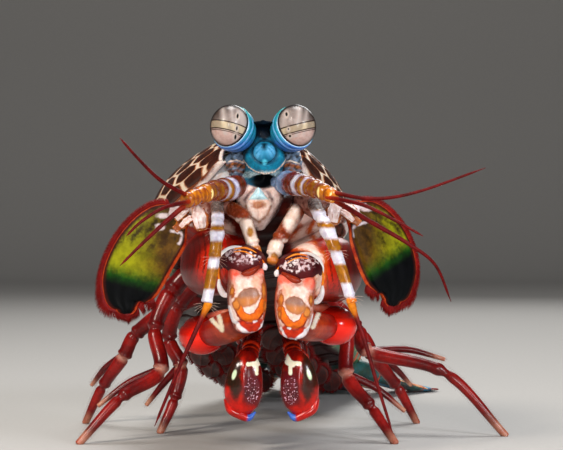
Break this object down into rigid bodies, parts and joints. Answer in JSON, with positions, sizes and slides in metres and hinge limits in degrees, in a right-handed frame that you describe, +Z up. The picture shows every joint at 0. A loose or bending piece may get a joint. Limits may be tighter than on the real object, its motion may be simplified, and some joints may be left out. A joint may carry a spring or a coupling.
{
  "type": "peacock mantis shrimp",
  "caption": "Life-size peacock mantis shrimp model standing with raised head, folded club limbs, round banded eyes, broad antennal scales and a spined tail fan.",
  "frame": {"origin": "middle of the bounding box at floor level", "axes": "+Z up, -Y the way the animal faces, +X its left side"},
  "size_m": [0.0822, 0.1756, 0.0594],
  "materials": {
    "green_shell": "glossy olive-green shell plate",
    "spotted_shell": "glossy shell, dark brown spots in a cream net",
    "head_blue": "glossy blue-green shell",
    "eye": "clear glossy cornea, pinkish grey with a tan band",
    "limb_red": "glossy dark red shell",
    "banded_limb": "glossy shell banded cream, orange and brown",
    "feeler_red": "dark red shell",
    "club": "polished red shell",
    "antennal_scale": "yellow-green plate, black end, red fringe",
    "tail_fan": "glossy blue-green shell with red hairs"
  },
  "bodies": {
    "root": {"abdomen_1": "green_shell", "abdomen_2": "green_shell", "abdomen_3": "green_shell", "abdomen_4": "green_shell", "abdomen_5": "green_shell", "abdomen_6": "green_shell", "antenna_base_left": "banded_limb", "antenna_base_right": "banded_limb", "antenna_lash_left": "feeler_red", "antenna_lash_right": "feeler_red", "antenna_left": "banded_limb", "antenna_right": "banded_limb", "antennal_scale_left": "antennal_scale", "antennal_scale_right": "antennal_scale", "antennule_lash_lower_left": "feeler_red", "antennule_lash_lower_right": "feeler_red", "antennule_lash_middle_left": "feeler_red", "antennule_lash_middle_right": "feeler_red", "antennule_lash_upper_left": "feeler_red", "antennule_lash_upper_right": "feeler_red", "antennule_left": "banded_limb", "antennule_right": "banded_limb", "carapace": "spotted_shell", "eye_left": "eye", "eye_right": "eye", "eyestalk_left": "head_blue", "eyestalk_right": "head_blue", "front_thorax": "limb_red", "head": "head_blue", "maxilliped_1_left": "banded_limb", "maxilliped_1_right": "banded_limb", "maxilliped_3_left": "limb_red", "maxilliped_3_right": "limb_red", "maxilliped_4_left": "limb_red", "maxilliped_4_right": "limb_red", "maxilliped_5_left": "limb_red", "maxilliped_5_right": "limb_red", "raptor_carpus_left": "banded_limb", "raptor_carpus_right": "banded_limb", "raptor_dactyl_left": "club", "raptor_dactyl_right": "club", "raptor_merus_left": "limb_red", "raptor_merus_right": "limb_red", "raptor_propodus_left": "banded_limb", "raptor_propodus_right": "banded_limb", "rostral_plate": "green_shell", "telson": "tail_fan", "thorax_6": "green_shell", "thorax_7": "green_shell", "thorax_8": "green_shell", "uropod_left": "tail_fan", "uropod_right": "tail_fan", "walking_leg_1_left": "limb_red", "walking_leg_1_right": "limb_red", "walking_leg_2_left": "limb_red", "walking_leg_2_right": "limb_red", "walking_leg_3_left": "limb_red", "walking_leg_3_right": "limb_red"}
  },
  "joints": []
}
